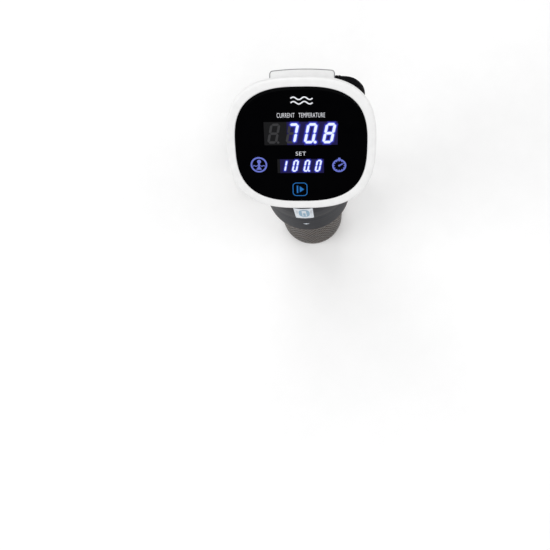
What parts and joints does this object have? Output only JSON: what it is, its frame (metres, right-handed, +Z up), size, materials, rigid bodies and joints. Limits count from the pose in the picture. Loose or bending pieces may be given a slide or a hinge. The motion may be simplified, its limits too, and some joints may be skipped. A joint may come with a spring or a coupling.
{
  "type": "sous vide circulator",
  "caption": "Upright immersion circulator with a sloping black touch panel in a white head, dark stem, perforated skirt over heater and pump, pot clamp and mains cord.",
  "frame": {"origin": "centre of the flat underside of the bottom cap, on the axis of the stem", "axes": "+Z up along the stem, -Y towards the user whom the face slopes down to, +Y towards the pot wall, the clamp and the cord housing, +X to the user's right"},
  "size_m": [0.1419, 0.1928, 0.3614],
  "materials": {
    "white_shell": "satin white moulding",
    "black_glass": "black back-printed glass",
    "seal_rubber": "matt grey silicone",
    "pad_rubber": "matt, fine ribbed",
    "board": "green solder mask",
    "display": "smoked display block",
    "black_part": "moulded black",
    "steel": "satin stainless",
    "dark_collar": "dark satin",
    "dark_neck": "dark satin",
    "dark_steel": "dark tinted stainless",
    "label": "printed pale film",
    "magnet": "sintered ferrite",
    "aluminium": "extruded",
    "brass": "turned",
    "wound": "taped winding",
    "grey_part": "moulded grey",
    "cord_rubber": "satin black sheath"
  },
  "bodies": {
    "stem": {"bezel": "white_shell", "face_glass": "black_glass", "face_gasket": "seal_rubber", "display_board": "board", "temperature_display": "display", "set_display": "display", "icon_lamps": "display", "buzzer": "black_part", "board_screws": "steel", "head_front_shell": "white_shell", "head_rear_shell": "white_shell", "collar": "dark_collar", "collar_seal": "seal_rubber", "lower_neck": "dark_neck", "collar_label": "label", "motor_case": "steel", "motor_magnets": "magnet", "motor_bearings": "steel", "motor_bracket": "aluminium", "motor_screws": "steel", "bearing_plate": "steel", "shaft_bush": "grey_part", "shaft_seal": "seal_rubber", "pump_posts": "steel", "heater_flange": "steel", "flange_gasket": "seal_rubber", "heater_element": "steel", "temperature_probe": "steel", "level_probes": "steel", "power_board": "board", "transformer": "wound", "relay": "grey_part", "terminal_block": "grey_part", "capacitors": "black_part", "heat_sink": "aluminium", "clamp_bracket": "white_shell", "clamp_spring": "steel", "fixed_pad": "pad_rubber", "clamp_screws": "steel", "cord": "cord_rubber", "strain_relief": "cord_rubber", "cord_coil": "cord_rubber", "cord_tie": "cord_rubber", "plug": "cord_rubber", "plug_pins": "brass"},
    "pump": {"motor_rotor": "steel", "shaft_coupling": "brass", "pump_shaft": "steel", "impeller": "grey_part"},
    "lever": {"clamp_lever": "white_shell", "clamp_pin": "steel", "jaw_pad": "pad_rubber"},
    "lock": {"lock_ring": "dark_neck"},
    "skirt": {"perforated_skirt": "dark_steel", "bottom_cap": "dark_steel"}
  },
  "joints": [
    {"name": "pump_spin", "type": "hinge", "parent": "stem", "child": "pump", "pos_m": [0, 0, 0.1], "axis": [0, 0, 1], "continuous": true},
    {"name": "clamp_squeeze", "type": "hinge", "parent": "stem", "child": "lever", "pos_m": [0, 0.0627, 0.19], "axis": [1, 0, 0], "range_deg": [0, 15], "stiffness_Nm_per_rad": 1.2, "springref_deg": -20.05},
    {"name": "skirt_twist", "type": "hinge", "parent": "stem", "child": "lock", "pos_m": [0, 0, 0.165], "axis": [0, 0, 1], "range_deg": [0, 25]},
    {"name": "skirt_pull", "type": "slide", "parent": "lock", "child": "skirt", "axis": [0, 0, -1], "range_m": [0, 0.15]}
  ]
}
